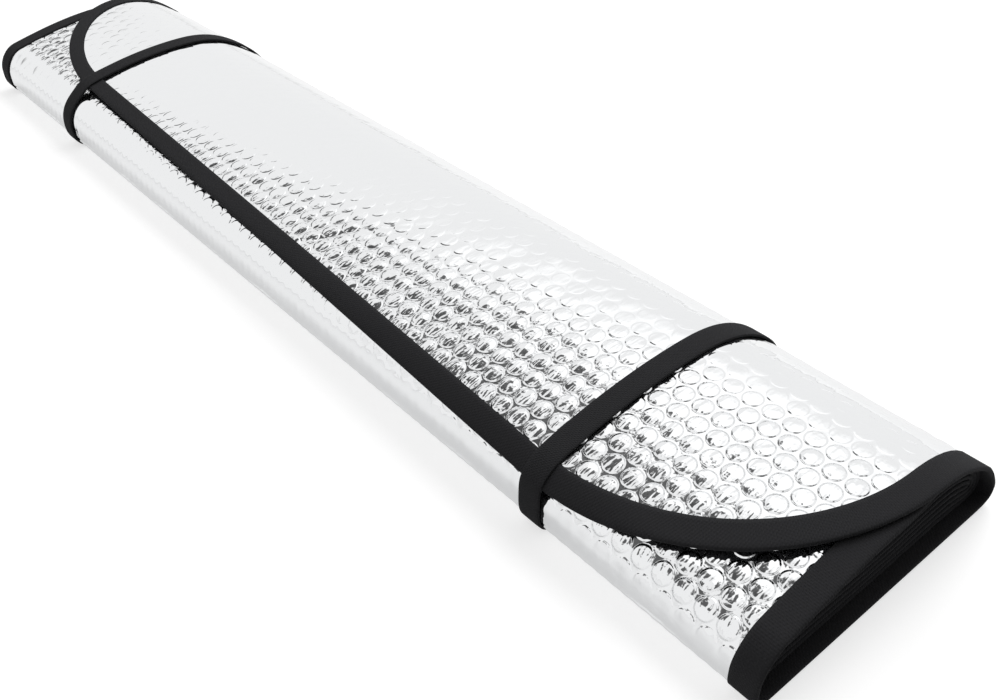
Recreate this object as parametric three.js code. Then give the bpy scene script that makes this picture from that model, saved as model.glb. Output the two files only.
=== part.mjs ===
// Windscreen sunshade of bubble foil, rolled flat for storage and held by two elastic loops.
// Millimetres. +X runs along the roll, +Y across it and +Z up from the surface it lies on.
//
// The sheet is described flat first. s runs round the roll from the flap's free edge inward,
// x runs along the roll, and n is the height over the middle of the sheet's thickness.
// place(s, x, n) then carries any flat point to its place in the roll.

import * as THREE from 'three';

// The roll
const ROLL_LENGTH = 700;
const ROLL_WIDTH = 159;
const CROWN_HEIGHT = 47.7;
const CROWN_Y = 13;
const LEFT_DROP = 11;
const LEFT_POWER = 2;
const RIGHT_DROP = 17;
const RIGHT_POWER = 2.4;
const END_FLATTENING = 0.055;
const WIDTH_TAPER = 0.04;
const LOWER_SQUARENESS = 0.5;

// The folded layers, counted from the bottom one
const LAYERS = 10;
const STACK_LAYERS = 7;
const STACK_PITCH = 3.8;
const TOP_PITCH = 3.6;
const FOLD_PITCH = 3.03;
const INNER_FOLD_REACH = 1.9;
const SWELL_POWER = 1.5;
const INNER_END_SETBACK = 6;

// The sheet
const SHEET_THICKNESS = 1.7;
const RIM_THICKNESS = 0.5;
const STEP_WIDTH = 0.2;
const FLAP_START_ANGLE = 70;
const FLAP_EDGE_OFFSET = 16.3;
const FLAP_EDGE_SKEW = 0.045;
const CORNER_LENGTH = 124;
const CORNER_WIDTH = 109;
const INNER_CORNER = 22;

// The bubbles on the outside of the sheet
const BUBBLE_PITCH = 10.6;
const BUBBLE_HEIGHT = 0.9;
const BUBBLE_MARGIN = 1;
const EXPOSED_WIDTH = 84;
const RIGHT_BUBBLE_ANGLE = 60;

// The woven edge binding
const BINDING_WIDTH = 13;
const TAPE_THICKNESS = 0.6;

// The elastic loops
const STRAP_WIDTH = 12;
const STRAP_THICKNESS = 1.2;
const NEAR_STRAP_X = 231;
const FAR_STRAP_X = -231;
const STRAP_POINT_SPACING = 3;

// The gap left between pieces that touch
const CLEARANCE = 0.3;

// How finely curves are followed
const SECTION_STEP = 0.25;
const RUN_SPANS = 5;
const OUTER_FOLD_SPANS = 10;
const INNER_FOLD_SPANS = 6;
const CORNER_SPANS = 26;
const INNER_CORNER_SPANS = 6;
const GUIDE_SPANS = 12;
const EDGE_SPANS = 5;
const MIN_SPACING = 0.6;
const FOLD_EXTRA_STEPS = 8;
const ROW_ROOM = 0.6;
const TINY = 0.000001;

// Sizes that follow
const SHEET_HALF = SHEET_THICKNESS / 2;
const RIM_HALF = RIM_THICKNESS / 2;
const BINDING_HALF = RIM_HALF + CLEARANCE + TAPE_THICKNESS;
const SHEET_EDGE = TAPE_THICKNESS + CLEARANCE;
const RIM_END = BINDING_WIDTH + CLEARANCE;
const FACE_START = RIM_END + STEP_WIDTH;
const ROW_PITCH = BUBBLE_PITCH * Math.sqrt(3) / 2;
const HALF_LENGTH = ROLL_LENGTH / 2;
const BOTTOM_HEIGHT = STRAP_THICKNESS + CLEARANCE + SHEET_HALF;
const TOP_LEVEL = LAYERS - 1;
const RIGHT_CENTRE = TOP_LEVEL / 2;
const LEFT_CENTRE = (TOP_LEVEL - 1) / 2;
const SIDE_ALLOWANCE = STRAP_THICKNESS + CLEARANCE + SHEET_HALF;
const RIGHT_FOLD_Y = ROLL_WIDTH / 2 - SIDE_ALLOWANCE - foldReach(RIGHT_CENTRE);
const LEFT_FOLD_Y = foldReach(LEFT_CENTRE) + SIDE_ALLOWANCE - ROLL_WIDTH / 2;

// How far a fold reaches out sideways when it joins levels this far from its middle.
function foldReach(half) {
  return INNER_FOLD_REACH + FOLD_PITCH * (half - 0.5);
}

// The height of the top layer across the roll: a low crown that falls to both folds.
function crownLine(y) {
  if (y < CROWN_Y) {
    return CROWN_HEIGHT - LEFT_DROP * ((CROWN_Y - y) / (CROWN_Y - LEFT_FOLD_Y)) ** LEFT_POWER;
  }
  return CROWN_HEIGHT - RIGHT_DROP * ((y - CROWN_Y) / (RIGHT_FOLD_Y - CROWN_Y)) ** RIGHT_POWER;
}

// The height of a layer in the middle of the roll, where the top layers lift off the stack.
function swollenHeight(top, level) {
  const stackLevel = STACK_LAYERS - 1;
  const stack = (value) => BOTTOM_HEIGHT + value * STACK_PITCH;
  const lifted = (value) => top - (TOP_LEVEL - value) * TOP_PITCH;
  if (level <= stackLevel) {
    return stack(level);
  }
  if (level >= stackLevel + 1) {
    return lifted(level);
  }
  return THREE.MathUtils.lerp(stack(stackLevel), lifted(stackLevel + 1), level - stackLevel);
}

// The height of any level at any place across the roll.
function levelHeight(y, level) {
  const top = crownLine(y);
  const even = BOTTOM_HEIGHT + (top - BOTTOM_HEIGHT) * level / TOP_LEVEL;
  const middle = (RIGHT_FOLD_Y + LEFT_FOLD_Y) / 2;
  const across = Math.min(1, Math.abs(y - middle) / ((RIGHT_FOLD_Y - LEFT_FOLD_Y) / 2));
  const swell = (1 - across ** 2) ** SWELL_POWER;
  return THREE.MathUtils.lerp(even, swollenHeight(top, level), swell);
}

// A point of a fold: side is 1 on the right and -1 on the left, and the angle starts on top.
// The lower quarter of a fold is pressed square against the ground, the outer folds most.
function foldPoint(side, half, angle) {
  const foldY = side > 0 ? RIGHT_FOLD_Y : LEFT_FOLD_Y;
  const centre = side > 0 ? RIGHT_CENTRE : LEFT_CENTRE;
  const outerness = (half - 0.5) / (RIGHT_CENTRE - 0.5);
  const power = Math.cos(angle) < 0 ? 1 - LOWER_SQUARENESS * outerness : 1;
  const out = Math.max(0, Math.sin(angle)) ** power;
  const up = Math.sign(Math.cos(angle)) * Math.abs(Math.cos(angle)) ** power;
  const y = foldY + side * foldReach(half) * out;
  return new THREE.Vector2(y, levelHeight(y, centre + half * up));
}

// The middle line of the sheet in section, from the flap's edge to the inner end,
// as close points with their distance along the sheet, and the stretches it is made of.
function rollSection() {
  const points = [];
  const lengths = [];
  const stretches = [];
  const follow = (kind, steps, pointAt) => {
    const start = lengths.length ? lengths[lengths.length - 1] : 0;
    for (let i = points.length ? 1 : 0; i <= steps; i += 1) {
      const point = pointAt(i / steps);
      const last = points[points.length - 1];
      lengths.push(last ? lengths[lengths.length - 1] + last.distanceTo(point) : 0);
      points.push(point);
    }
    stretches.push({ kind, start, end: lengths[lengths.length - 1] });
  };
  const run = (level, fromY, toY) => {
    const steps = Math.ceil(Math.abs(toY - fromY) / SECTION_STEP);
    follow('run', steps, (part) => {
      const y = THREE.MathUtils.lerp(fromY, toY, part);
      return new THREE.Vector2(y, levelHeight(y, level));
    });
  };
  const fold = (side, half, fromAngle, toAngle) => {
    const arc = foldReach(half) * Math.abs(toAngle - fromAngle);
    const steps = Math.ceil(arc / SECTION_STEP) + FOLD_EXTRA_STEPS;
    follow('fold', steps, (part) => {
      return foldPoint(side, half, THREE.MathUtils.lerp(fromAngle, toAngle, part));
    });
  };
  fold(-1, LEFT_CENTRE + 1, THREE.MathUtils.degToRad(FLAP_START_ANGLE), 0);
  for (let turn = 0; turn < LAYERS / 2; turn += 1) {
    run(TOP_LEVEL - turn, LEFT_FOLD_Y, RIGHT_FOLD_Y);
    fold(1, RIGHT_CENTRE - turn, 0, Math.PI);
    const last = turn + 1 >= LAYERS / 2;
    run(turn, RIGHT_FOLD_Y, last ? LEFT_FOLD_Y + INNER_END_SETBACK : LEFT_FOLD_Y);
    if (!last) {
      fold(-1, LEFT_CENTRE - turn, Math.PI, 0);
    }
  }
  return { points, lengths, stretches, length: lengths[lengths.length - 1] };
}

const section = rollSection();
const flapArc = section.stretches[0];
const flapRun = section.stretches[1];
const rightOuterFold = section.stretches[2];
const leftOuterFold = section.stretches[4];
const secondRun = section.stretches[5];

// The point of the middle line at a distance along the sheet.
function linePoint(s) {
  const { points, lengths } = section;
  let low = 0;
  let high = lengths.length - 1;
  while (high - low > 1) {
    const middle = (low + high) >> 1;
    if (lengths[middle] <= s) {
      low = middle;
    } else {
      high = middle;
    }
  }
  const part = (s - lengths[low]) / (lengths[high] - lengths[low]);
  return points[low].clone().lerp(points[high], part);
}

// The roll is full height between the elastic loops and flattens a little towards its ends.
function endTaper(x) {
  const strapX = x > 0 ? NEAR_STRAP_X : -FAR_STRAP_X;
  const beyond = (Math.abs(x) - strapX) / (HALF_LENGTH - strapX);
  return 1 - END_FLATTENING * THREE.MathUtils.clamp(beyond, 0, 1);
}

// The roll is wound looser at its near end, so it is wider there than at its far end.
function widthTaper(x) {
  return 1 + WIDTH_TAPER * x / HALF_LENGTH;
}

// Carries a flat point of the sheet to its place in the roll.
function place(s, x, n) {
  const middle = linePoint(s);
  const ahead = linePoint(Math.min(section.length, s + SECTION_STEP));
  const behind = linePoint(Math.max(0, s - SECTION_STEP));
  const along = ahead.sub(behind).normalize();
  const height = BOTTOM_HEIGHT + (middle.y - BOTTOM_HEIGHT) * endTaper(x);
  return new THREE.Vector3(x, middle.x * widthTaper(x) - along.y * n, height + along.x * n);
}

// The flap's free edge lies a little askew to the roll. Lines across the flap are numbered
// by t, which is 0 along that edge and the same as s from the end of the flap's run onward.
function edgeShift(x) {
  return FLAP_EDGE_OFFSET - FLAP_EDGE_SKEW * x;
}

function sheetPoint(t, x, n) {
  const fade = Math.max(0, 1 - t / flapRun.end);
  return place(t + edgeShift(x) * fade, x, n);
}

// Half the sheet's length on line t, at a distance in from its outline. The flap's two corners
// are quarter ellipses, the two inner ones are small and round.
function endReach(t, inset) {
  const corner = (fromEdge, length, width) => {
    const part = Math.min(1, (width - fromEdge) / (width - inset));
    return HALF_LENGTH - length + (length - inset) * Math.sqrt(1 - part ** 2);
  };
  if (t < CORNER_WIDTH) {
    return corner(t, CORNER_LENGTH, CORNER_WIDTH);
  }
  if (section.length - t < INNER_CORNER) {
    return corner(section.length - t, INNER_CORNER, INNER_CORNER);
  }
  return HALF_LENGTH - inset;
}

// Places along the roll where every line near the flap's edge has a point: evenly along the
// edge's straight stretch, and on past it with the same spacing.
function guides(reach) {
  const straight = HALF_LENGTH - CORNER_LENGTH;
  const spacing = 2 * straight / GUIDE_SPANS;
  const list = [];
  for (let x = -GUIDE_SPANS * spacing; x <= reach + TINY; x += spacing) {
    if (Math.abs(x) <= reach + TINY) {
      list.push(x);
    }
  }
  return list;
}

// Distances in from the outline that the tape and the sheet's rim share, between two ends.
function spread(from, to, spans) {
  const list = [from];
  for (let i = 1; i < spans; i += 1) {
    list.push(BINDING_WIDTH * i / spans);
  }
  return [...list, to];
}

// Whether a line crosses one of the two stretches whose bubbles show: the top and right
// shoulder of the outer turn, and the left fold with the strip that the flap leaves bare.
function inRows(t) {
  const rightEnd = THREE.MathUtils.lerp(
    rightOuterFold.start, rightOuterFold.end, RIGHT_BUBBLE_ANGLE / 180);
  const exposedEnd = secondRun.start + EXPOSED_WIDTH;
  const onTop = t > FACE_START - TINY && t < rightEnd;
  return onTop || (t > leftOuterFold.start && t < exposedEnd);
}

// Whether the sheet is bent here, so that its points have to lie closer.
function isBent(t) {
  const near = (fold) => t > fold.start - ROW_PITCH && t < fold.end + ROW_PITCH / 2;
  return [flapArc, rightOuterFold, leftOuterFold].some(near);
}

// The lines across the sheet that carry its points: the rows of bubbles where they show,
// a line between two rows where the sheet is bent, and a few lines on every other stretch.
function sheetLines() {
  const lines = [];
  for (let row = 0; FACE_START + row * ROW_PITCH < secondRun.start + EXPOSED_WIDTH; row += 1) {
    const t = FACE_START + row * ROW_PITCH;
    if (inRows(t)) {
      lines.push({ t, row, rank: 0 });
      if (isBent(t) && inRows(t + ROW_PITCH)) {
        lines.push({ t: t + ROW_PITCH / 2, between: true, rank: 1 });
      }
    }
  }
  for (const inset of spread(SHEET_EDGE, RIM_END, EDGE_SPANS)) {
    lines.push({ t: inset, rank: 0 });
  }
  for (const inset of [FACE_START, RIM_END, SHEET_EDGE]) {
    lines.push({ t: section.length - inset, rank: 0 });
  }
  for (const stretch of section.stretches) {
    const outer = stretch === rightOuterFold || stretch === leftOuterFold;
    const foldSpans = outer ? OUTER_FOLD_SPANS : INNER_FOLD_SPANS;
    const spans = stretch.kind === 'run' ? RUN_SPANS : foldSpans;
    for (let i = 0; i <= spans; i += 1) {
      const t = THREE.MathUtils.lerp(stretch.start, stretch.end, i / spans);
      if (t > FACE_START && t < section.length - FACE_START) {
        lines.push({ t, rank: 2 });
      }
    }
  }
  lines.sort((a, b) => a.rank - b.rank);
  const kept = [];
  for (const line of lines) {
    const room = inRows(line.t) && line.rank > 1 ? ROW_PITCH * ROW_ROOM : MIN_SPACING;
    if (line.rank === 0 || kept.every((other) => Math.abs(other.t - line.t) > room)) {
      kept.push(line);
    }
  }
  return kept.sort((a, b) => a.t - b.t);
}

// Whether the flap lies over this point of the sheet's second turn.
function underFlap(t, x) {
  if (t < leftOuterFold.start) {
    return false;
  }
  const growth = foldReach(LEFT_CENTRE + 1) / foldReach(LEFT_CENTRE);
  const past = t - leftOuterFold.end;
  const above = flapArc.end + (past < 0 ? past * growth : past) - edgeShift(x);
  const margin = BUBBLE_PITCH / 2 + BUBBLE_MARGIN;
  if (above < -margin) {
    return false;
  }
  return Math.abs(x) < endReach(Math.max(0, above + margin), 0) + margin;
}

// Whether a whole bubble fits here: clear of the binding, the elastic loops and the flap.
function bubbleStands(t, x) {
  const half = BUBBLE_PITCH / 2;
  const roomy = [t - ROW_PITCH, t, t + ROW_PITCH].every((line) => {
    return inRows(line) && Math.abs(x) + half + BUBBLE_MARGIN < endReach(line, FACE_START);
  });
  const pressed = [NEAR_STRAP_X, FAR_STRAP_X].some((strapX) => {
    return Math.abs(x - strapX) < STRAP_WIDTH / 2 + half + CLEARANCE;
  });
  return roomy && !pressed && !underFlap(t, x);
}

// Whether a bubble stands at any of the places beside a low point, so that it is needed.
function meetsBubble(t, x, besides) {
  return besides.some(([stepT, stepX]) => bubbleStands(t + stepT, x + stepX));
}

// The points of one line, from one end of the sheet to the other, on one face of the sheet.
// The cuts number the points where the rim ends and where the full thickness starts.
function linePoints(line, face) {
  const { t } = line;
  const fromEdge = Math.min(t, section.length - t);
  const pastRim = fromEdge > RIM_END - TINY;
  const pastStep = fromEdge > FACE_START - TINY;
  const edge = endReach(t, SHEET_EDGE);
  const rim = pastRim ? endReach(t, RIM_END) : -1;
  const start = pastStep ? endReach(t, FACE_START) : -1;
  const list = [];
  const add = (x, height) => {
    if (list.every((other) => Math.abs(other.x - x) > STEP_WIDTH / 2)) {
      list.push({ x, height });
    }
  };
  for (const side of [-1, 1]) {
    add(side * edge, RIM_HALF);
    if (pastRim) {
      add(side * rim, RIM_HALF);
    }
    if (pastStep) {
      list.push({ x: side * start, height: SHEET_HALF });
    }
  }
  const curved = t < FACE_START + ROW_PITCH * 2;
  const marks = curved ? guides(edge) : [NEAR_STRAP_X, FAR_STRAP_X];
  for (const x of marks) {
    const free = [edge, rim, start].every((reach) => Math.abs(Math.abs(x) - reach) > MIN_SPACING);
    if (Math.abs(x) < edge && free) {
      add(x, Math.abs(x) < start ? SHEET_HALF : RIM_HALF);
    }
  }
  if (face > 0 && pastStep) {
    addBubbles(line, start, add);
  }
  list.sort((a, b) => a.x - b.x);
  const points = list.map(({ x, height }) => ({ x, height, at: sheetPoint(t, x, face * height) }));
  if (!pastRim) {
    return { points, cuts: null };
  }
  const find = (x) => list.findIndex((entry) => entry.x === x);
  const inner = pastStep ? start : rim;
  return { points, cuts: [0, find(-rim), find(-inner), find(inner), find(rim), list.length - 1] };
}

// Adds the tops of a row's bubbles with a low point between each two, or the low points
// of the line between two rows.
function addBubbles(line, start, add) {
  const half = BUBBLE_PITCH / 2;
  const round = [[-ROW_PITCH, 0], [ROW_PITCH, 0], [0, -half], [0, half]];
  const aslant = [-ROW_PITCH / 2, ROW_PITCH / 2].flatMap((stepT) => {
    return [[stepT, -half / 2], [stepT, half / 2]];
  });
  const inside = (x) => Math.abs(x) < start - MIN_SPACING;
  const count = Math.ceil(HALF_LENGTH / BUBBLE_PITCH) + 1;
  for (let i = -count; i <= count; i += 1) {
    if (line.row !== undefined) {
      const x = (i + (line.row % 2) / 2) * BUBBLE_PITCH;
      const low = x + half;
      if (inside(x) && bubbleStands(line.t, x)) {
        add(x, SHEET_HALF + BUBBLE_HEIGHT);
      }
      if (inside(low) && meetsBubble(line.t, low, round)) {
        add(low, SHEET_HALF);
      }
    }
    if (line.between) {
      for (const x of [i * BUBBLE_PITCH + half / 2, (i + 1) * BUBBLE_PITCH - half / 2]) {
        if (inside(x) && meetsBubble(line.t, x, aslant)) {
          add(x, SHEET_HALF);
        }
      }
    }
  }
}

// Fills the strip between two lines of numbered points that both run along x, and joins the
// lower pair of corners wherever there is a choice, so that a fold runs round each bubble.
function fillStrip(first, second, triangles) {
  let i = 0;
  let j = 0;
  while (i < first.length - 1 || j < second.length - 1) {
    const nextFirst = first[i + 1];
    const nextSecond = second[j + 1];
    let stepFirst = Boolean(nextFirst);
    if (nextFirst && nextSecond) {
      if (Math.abs(nextFirst.x - nextSecond.x) < STEP_WIDTH / 2) {
        stepFirst = nextFirst.height + second[j].height < first[i].height + nextSecond.height;
      } else {
        stepFirst = nextFirst.x < nextSecond.x;
      }
    }
    if (stepFirst) {
      triangles.push(first[i].number, nextFirst.number, second[j].number);
      i += 1;
    } else {
      triangles.push(first[i].number, nextSecond.number, second[j].number);
      j += 1;
    }
  }
}

// Joins two neighbouring lines, stretch by stretch between their cuts, so that the step from
// the rim to the full thickness stays a step.
function joinLines(first, second, triangles) {
  if (!first.cuts || !second.cuts) {
    fillStrip(first.points, second.points, triangles);
    return;
  }
  for (let k = 0; k < first.cuts.length - 1; k += 1) {
    const part = (line) => line.points.slice(line.cuts[k], line.cuts[k + 1] + 1);
    fillStrip(part(first), part(second), triangles);
  }
}

// A closed mesh from points and triangles.
function closedGeometry(points, triangles) {
  const geometry = new THREE.BufferGeometry();
  const positions = points.flatMap((point) => [point.x, point.y, point.z]);
  geometry.setAttribute('position', new THREE.Float32BufferAttribute(positions, 3));
  geometry.setIndex(triangles);
  geometry.computeVertexNormals();
  return geometry;
}

// The whole sheet of bubble foil, one solid from the flap to its inner end.
function panelGeometry(lines) {
  const places = [];
  const number = ({ points, cuts }) => ({
    cuts,
    points: points.map((point) => {
      places.push(point.at);
      return { ...point, number: places.length - 1 };
    }),
  });
  const outer = lines.map((line) => number(linePoints(line, 1)));
  const inner = lines.map((line) => number(linePoints(line, -1)));
  const triangles = [];
  const quad = (...corners) => {
    const [a, b, c, d] = corners.map((corner) => corner.number);
    triangles.push(a, b, c, a, c, d);
  };
  const left = (line) => line.points[0];
  const right = (line) => line.points.at(-1);
  for (let i = 0; i < lines.length - 1; i += 1) {
    joinLines(outer[i], outer[i + 1], triangles);
    joinLines(inner[i + 1], inner[i], triangles);
    quad(left(outer[i]), left(outer[i + 1]), left(inner[i + 1]), left(inner[i]));
    quad(right(inner[i]), right(inner[i + 1]), right(outer[i + 1]), right(outer[i]));
  }
  fillStrip(inner[0].points, outer[0].points, triangles);
  fillStrip(outer.at(-1).points, inner.at(-1).points, triangles);
  return closedGeometry(places, triangles);
}

// The binding's stations round the sheet's outline. Each one gives the flat point that lies
// a distance in from the outline there, and how many spans the tape's width needs.
function bindingStations(lines) {
  const stations = [];
  const add = (spans, at) => stations.push({ spans, at });
  const straight = HALF_LENGTH - CORNER_LENGTH;
  const quarter = (part) => part * Math.PI / 2;
  const flapCorner = (side, part) => (inset) => ({
    t: CORNER_WIDTH - (CORNER_WIDTH - inset) * Math.cos(quarter(part)),
    x: side * (straight + (CORNER_LENGTH - inset) * Math.sin(quarter(part))),
  });
  const innerCorner = (side, part) => (inset) => ({
    t: section.length - INNER_CORNER + (INNER_CORNER - inset) * Math.sin(quarter(part)),
    x: side * (HALF_LENGTH - INNER_CORNER + (INNER_CORNER - inset) * Math.cos(quarter(part))),
  });
  const sideLines = lines.filter(({ t }) => {
    return t > CORNER_WIDTH + MIN_SPACING && t < section.length - INNER_CORNER - MIN_SPACING;
  });
  for (const x of guides(straight)) {
    add(EDGE_SPANS, (inset) => ({ t: inset, x }));
  }
  for (let i = 1; i <= CORNER_SPANS; i += 1) {
    add(EDGE_SPANS, flapCorner(1, i / CORNER_SPANS));
  }
  for (const { t } of sideLines) {
    add(1, (inset) => ({ t, x: HALF_LENGTH - inset }));
  }
  for (let i = 0; i <= INNER_CORNER_SPANS; i += 1) {
    add(1, innerCorner(1, i / INNER_CORNER_SPANS));
  }
  for (const x of [NEAR_STRAP_X, FAR_STRAP_X]) {
    add(1, (inset) => ({ t: section.length - inset, x }));
  }
  for (let i = INNER_CORNER_SPANS; i >= 0; i -= 1) {
    add(1, innerCorner(-1, i / INNER_CORNER_SPANS));
  }
  for (const { t } of [...sideLines].reverse()) {
    add(1, (inset) => ({ t, x: inset - HALF_LENGTH }));
  }
  for (let i = CORNER_SPANS; i >= 1; i -= 1) {
    add(EDGE_SPANS, flapCorner(-1, i / CORNER_SPANS));
  }
  return stations;
}

// The binding: one woven tape folded over the sheet's edge all the way round. Each station
// has four rows of points across the tape: the outside and the inside of its upper half,
// then the inside and the outside of its lower half.
function bindingGeometry(lines) {
  const places = [];
  const inside = BINDING_HALF - TAPE_THICKNESS;
  const rows = [
    [0, BINDING_HALF],
    [TAPE_THICKNESS, inside],
    [TAPE_THICKNESS, -inside],
    [0, -BINDING_HALF],
  ];
  const rings = bindingStations(lines).map(({ spans, at }) => rows.map(([from, n]) => {
    return spread(from, BINDING_WIDTH, spans).map((inset) => {
      const { t, x } = at(inset);
      places.push(sheetPoint(t, x, n));
      return { x: inset, height: 0, number: places.length - 1 };
    });
  }));
  const triangles = [];
  const wall = (a, b, c, d) => {
    triangles.push(a.number, b.number, c.number, a.number, c.number, d.number);
  };
  rings.forEach((here, i) => {
    const next = rings[(i + 1) % rings.length];
    fillStrip(next[0], here[0], triangles);
    fillStrip(here[1], next[1], triangles);
    fillStrip(next[2], here[2], triangles);
    fillStrip(here[3], next[3], triangles);
    wall(here[0][0], here[3][0], next[3][0], next[0][0]);
    wall(next[1][0], next[2][0], here[2][0], here[1][0]);
    wall(here[1].at(-1), here[0].at(-1), next[0].at(-1), next[1].at(-1));
    wall(here[3].at(-1), here[2].at(-1), next[2].at(-1), next[3].at(-1));
  });
  return closedGeometry(places, triangles);
}

// The convex outline round a set of points in a section, counter-clockwise.
function convexOutline(points) {
  const sorted = [...points].sort((a, b) => a.x - b.x || a.y - b.y);
  const turn = (o, a, b) => (a.x - o.x) * (b.y - o.y) - (a.y - o.y) * (b.x - o.x);
  const chain = (list) => {
    const kept = [];
    for (const point of list) {
      while (kept.length > 1 && turn(kept.at(-2), kept.at(-1), point) <= 0) {
        kept.pop();
      }
      kept.push(point);
    }
    kept.pop();
    return kept;
  };
  return [...chain(sorted), ...chain([...sorted].reverse())];
}

// Moves a convex outline outward by a distance, with its corners mitred.
function grow(outline, distance) {
  return outline.map((point, i) => {
    const before = outline[(i + outline.length - 1) % outline.length];
    const after = outline[(i + 1) % outline.length];
    const normal = (from, to) => new THREE.Vector2(to.y - from.y, from.x - to.x).normalize();
    const first = normal(before, point);
    const mitre = first.clone().add(normal(point, after)).normalize();
    return point.clone().addScaledVector(mitre, distance / mitre.dot(first));
  });
}

// One elastic loop, pulled tight round the roll, so that its inside is the convex outline
// of everything it holds.
function strapGeometry(strapX) {
  const held = [];
  for (const x of [strapX - STRAP_WIDTH / 2, strapX, strapX + STRAP_WIDTH / 2]) {
    for (let t = 0; t < secondRun.start + EXPOSED_WIDTH; t += STRAP_POINT_SPACING) {
      const n = t < FACE_START ? BINDING_HALF : SHEET_HALF;
      const at = sheetPoint(t, x, n);
      held.push(new THREE.Vector2(at.y, at.z));
    }
    const lip = sheetPoint(0, x, -BINDING_HALF);
    held.push(new THREE.Vector2(lip.y, lip.z));
  }
  const spaced = [];
  for (const point of convexOutline(held)) {
    if (!spaced.length || spaced.at(-1).distanceTo(point) > STRAP_POINT_SPACING / 2) {
      spaced.push(point);
    }
  }
  const shape = new THREE.Shape(grow(spaced, CLEARANCE + STRAP_THICKNESS));
  shape.holes.push(new THREE.Path(grow(spaced, CLEARANCE)));
  const geometry = new THREE.ExtrudeGeometry(shape, { depth: STRAP_WIDTH, bevelEnabled: false });
  const across = new THREE.Vector3(0, 1, 0);
  const up = new THREE.Vector3(0, 0, 1);
  const along = new THREE.Vector3(1, 0, 0);
  geometry.applyMatrix4(new THREE.Matrix4().makeBasis(across, up, along));
  geometry.translate(-STRAP_WIDTH / 2, 0, 0);
  return geometry;
}

function addPiece(group, name, geometry, material, x = 0) {
  const mesh = new THREE.Mesh(geometry, material);
  mesh.name = name;
  mesh.position.x = x;
  group.add(mesh);
}

function foil() {
  return new THREE.MeshStandardMaterial({ color: 0xe6e7e9, roughness: 0.22, metalness: 0.9 });
}

function blackTape() {
  return new THREE.MeshStandardMaterial({ color: 0x242425, roughness: 0.9, metalness: 0 });
}

function elastic() {
  return new THREE.MeshStandardMaterial({ color: 0x1f1f20, roughness: 0.85, metalness: 0 });
}

function buildSunshade() {
  const group = new THREE.Group();
  const lines = sheetLines();
  addPiece(group, 'shade_panel', panelGeometry(lines), foil());
  addPiece(group, 'edge_binding', bindingGeometry(lines), blackTape());
  addPiece(group, 'strap_near', strapGeometry(NEAR_STRAP_X), elastic(), NEAR_STRAP_X);
  addPiece(group, 'strap_far', strapGeometry(FAR_STRAP_X), elastic(), FAR_STRAP_X);
  const bounds = new THREE.Box3().setFromObject(group);
  group.position.y = -(bounds.min.y + bounds.max.y) / 2;
  return group;
}

export default buildSunshade();
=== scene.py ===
"""A rolled windscreen sunshade of bubble foil, bound in black tape and held by two elastic loops.

Lengths are in millimetres until a finished mesh is scaled to metres. The sheet is described
flat first: s runs round the roll from the flap's free edge inward, x along the roll, and n is
the height over the middle of the sheet's thickness.
"""

import math

import bmesh
import bpy
import numpy as np
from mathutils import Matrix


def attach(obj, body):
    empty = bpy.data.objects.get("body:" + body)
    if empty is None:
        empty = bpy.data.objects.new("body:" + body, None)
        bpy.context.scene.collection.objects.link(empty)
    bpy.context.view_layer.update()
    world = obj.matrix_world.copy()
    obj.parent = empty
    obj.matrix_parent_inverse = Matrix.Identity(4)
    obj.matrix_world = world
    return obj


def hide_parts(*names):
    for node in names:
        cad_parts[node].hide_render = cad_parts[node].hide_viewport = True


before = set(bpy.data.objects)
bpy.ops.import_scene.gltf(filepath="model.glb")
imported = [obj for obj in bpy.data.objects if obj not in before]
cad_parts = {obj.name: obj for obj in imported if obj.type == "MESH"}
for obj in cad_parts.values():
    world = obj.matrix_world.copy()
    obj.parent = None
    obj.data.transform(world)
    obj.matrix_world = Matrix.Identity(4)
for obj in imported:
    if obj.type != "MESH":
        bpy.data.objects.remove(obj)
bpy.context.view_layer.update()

METRES = 0.001

# The roll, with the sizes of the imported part
ROLL_LENGTH = 700
ROLL_WIDTH = 159
CROWN_HEIGHT = 47.7
CROWN_Y = 13
LEFT_DROP = 11
LEFT_POWER = 2
RIGHT_DROP = 17
RIGHT_POWER = 2.4
END_FLATTENING = 0.055
WIDTH_TAPER = 0.04
LOWER_SQUARENESS = 0.5
LAYERS = 10
STACK_LAYERS = 7
STACK_PITCH = 3.8
TOP_PITCH = 3.6
FOLD_PITCH = 3.03
INNER_FOLD_REACH = 1.9
SWELL_POWER = 1.5
INNER_END_SETBACK = 6
SHEET_THICKNESS = 1.7
RIM_THICKNESS = 0.5
FLAP_START_ANGLE = 70
FLAP_EDGE_OFFSET = 16.3
FLAP_EDGE_SKEW = 0.045
CORNER_LENGTH = 124
CORNER_WIDTH = 109
INNER_CORNER = 22
BINDING_WIDTH = 13
TAPE_THICKNESS = 0.6
STRAP_WIDTH = 12
STRAP_THICKNESS = 1.2
NEAR_STRAP_X = 231
FAR_STRAP_X = -231
CLEARANCE = 0.3
FOOTPRINT_SHIFT = 0.0386

# How far the inner turns end short of the outer ones at the near end, and where they draw
# back, counted in s from the second turn's left fold
INNER_SETBACK = 6
SETBACK_STRETCH = (60, 150)

# The bubbles: their pitch, one bubble's place on the flap, their rows' turn out of square, and
# how far a row's numbers run before the next row's start
BUBBLE_PITCH = 10.6
ROW_PITCH = BUBBLE_PITCH * math.sqrt(3) / 2
BUBBLE_X = 242.9
BUBBLE_Y = -54.3
BUBBLE_ROW_SKEW = 0.0076
NUMBERS_PER_ROW = 131

# A bubble's form over the film's valleys, and how far bubbles differ in place, height and radius
DOME_BASE = 0.6
DOME_HEIGHT = 0.75
DOME_RADIUS = 5.1
DOME_POWER = 2.1
BUBBLE_STRAY = 0.9
HEIGHT_SPREAD = 0.4
RADIUS_SPREAD = 0.5

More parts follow.
